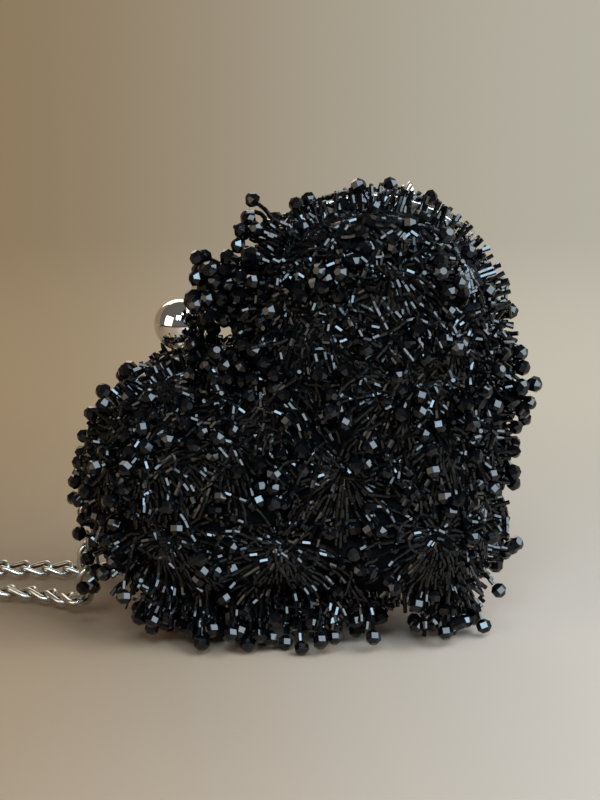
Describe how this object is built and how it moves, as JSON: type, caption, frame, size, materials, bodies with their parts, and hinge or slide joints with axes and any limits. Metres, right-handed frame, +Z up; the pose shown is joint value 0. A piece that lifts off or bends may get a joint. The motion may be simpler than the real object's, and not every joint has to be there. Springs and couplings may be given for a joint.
{
  "type": "heart shaped purse",
  "caption": "Heart shaped evening purse covered in black bead fringe, with a hinged kiss lock frame, chrome clasp balls and a silver curb chain.",
  "frame": {"origin": "centre of the purse's resting outline on the surface it stands on, without the chain", "axes": "+X to the viewer's right, +Y away from the viewer, +Z up; the purse stands on one straight side of the heart, as in the picture"},
  "size_m": [0.2478, 0.0973, 0.1614],
  "materials": {
    "bead_glass": "opaque black glass beads, glossy and faceted",
    "padded_cloth": "black cloth over soft padding",
    "lining_satin": "black satin lining",
    "packing_cord": "twisted paper cord",
    "clasp_chrome": "mirror chrome",
    "frame_nickel": "polished nickel plate",
    "chain_silver": "polished silver plate with light wear"
  },
  "bodies": {
    "purse_body": {"rear_frame": "frame_nickel", "rear_packing_cord": "packing_cord", "rear_panel": "padded_cloth", "rear_lining": "lining_satin", "rear_fringe": "bead_glass", "rear_ball": "clasp_chrome", "rear_ball_post": "frame_nickel", "left_hinge_rivet": "frame_nickel", "right_hinge_rivet": "frame_nickel", "left_chain_ear": "chain_silver", "right_chain_ear": "chain_silver", "left_jump_ring": "chain_silver", "left_round_ring": "chain_silver", "right_jump_ring": "chain_silver", "right_round_ring": "chain_silver", "chain_left_drop": "chain_silver", "chain_front_run": "chain_silver", "chain_loop": "chain_silver", "chain_rear_run": "chain_silver", "chain_riser": "chain_silver", "front_panel_fold": "padded_cloth", "front_lining_fold": "lining_satin", "front_fringe_fold": "bead_glass", "front_panel_base": "padded_cloth", "front_lining_base": "lining_satin", "front_fringe_base": "bead_glass", "tip_tassel": "bead_glass"},
    "front_flap": {"front_frame": "frame_nickel", "front_packing_cord": "packing_cord", "front_ball": "clasp_chrome", "front_ball_post": "frame_nickel", "front_panel_flap": "padded_cloth", "front_lining_flap": "lining_satin", "front_fringe_flap": "bead_glass"}
  },
  "joints": [
    {"name": "frame_hinge", "type": "hinge", "parent": "purse_body", "child": "front_flap", "pos_m": [0.002, 0, 0.0845], "axis": [0.7071, 0, 0.7071], "range_deg": [0, 50], "deforming": ["front_panel_fold", "front_lining_fold", "front_fringe_fold"]}
  ]
}
